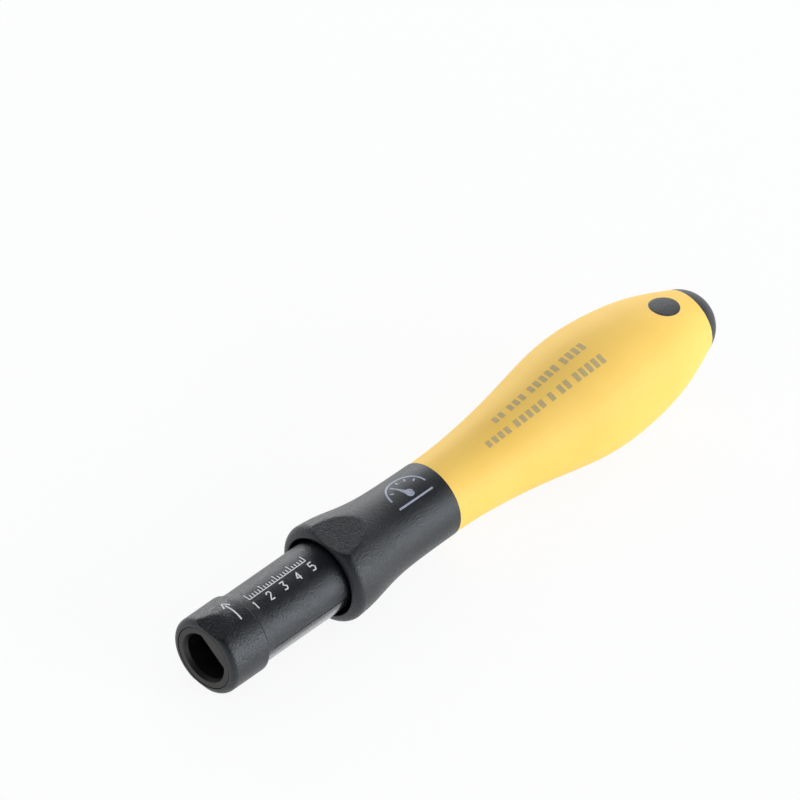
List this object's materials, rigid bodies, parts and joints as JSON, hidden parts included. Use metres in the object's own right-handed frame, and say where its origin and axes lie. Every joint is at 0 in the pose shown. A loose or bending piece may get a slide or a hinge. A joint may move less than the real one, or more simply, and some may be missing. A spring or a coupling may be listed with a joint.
{
  "type": "torque screwdriver",
  "caption": "Adjustable torque screwdriver with a soft yellow grip, a black sleeve with a scale window, a slipping ball clutch and a keyed setting screw.",
  "frame": {"origin": "centre of the blade socket at the nose face", "axes": "+X out of the nose along the tool's axis, +Z through the upper flats"},
  "size_m": [0.126, 0.0232, 0.0232],
  "materials": {
    "black_sleeve": "fine matte moulded black",
    "black_handle": "fine matte moulded black",
    "black_inlay": "matte black",
    "yellow_grip": "soft matte yellow",
    "clear_window": "clear moulded",
    "scale_white": "white with a printed scale",
    "tool_steel": "black oxide",
    "bearing_steel": "ground",
    "spring_steel": "oiled spring steel",
    "brass_nut": "turned",
    "seal_rubber": "nitrile rubber"
  },
  "bodies": {
    "handle": {"handle_core": "black_handle", "barrel": "black_sleeve", "window_lens": "clear_window", "bearing_plug": "brass_nut", "thrust_washer": "bearing_steel", "grip_sleeve": "yellow_grip", "grip_badge": "black_inlay", "end_cap": "black_handle", "main_spring": "spring_steel"},
    "spindle": {"output_spindle": "tool_steel", "blade_clip": "spring_steel", "spindle_circlip": "spring_steel", "driven_cam": "tool_steel"},
    "pressure_plate": {"pressure_cam": "tool_steel", "clutch_balls": "bearing_steel", "spring_washer": "bearing_steel"},
    "preload_nut": {"adjusting_nut": "brass_nut", "scale_sleeve": "scale_white", "scale_retainer": "spring_steel", "spring_seat": "bearing_steel"},
    "setting_screw": {"adjusting_screw": "tool_steel", "screw_circlip": "spring_steel", "friction_ring": "seal_rubber"}
  },
  "joints": [
    {"name": "output_spin", "type": "hinge", "parent": "handle", "child": "spindle", "pos_m": [0, 0, 0], "axis": [1, 0, 0], "continuous": true},
    {"name": "cam_lift", "type": "slide", "parent": "handle", "child": "pressure_plate", "axis": [-1, 0, 0], "range_m": [-0.00035, 0.0001], "stiffness_N_per_m": 2000, "deforming": ["main_spring"]},
    {"name": "adjuster_turn", "type": "hinge", "parent": "handle", "child": "setting_screw", "pos_m": [-0.05, 0, 0], "axis": [1, 0, 0], "range_deg": [-1355, 1355]},
    {"name": "preload_slide", "type": "slide", "parent": "handle", "child": "preload_nut", "axis": [1, 0, 0], "range_m": [-0.003, 0.003], "deforming": ["main_spring"]}
  ],
  "couplings": [
    {"joint": "adjuster_turn", "follows": "preload_slide", "rad_per_m": 7854}
  ]
}
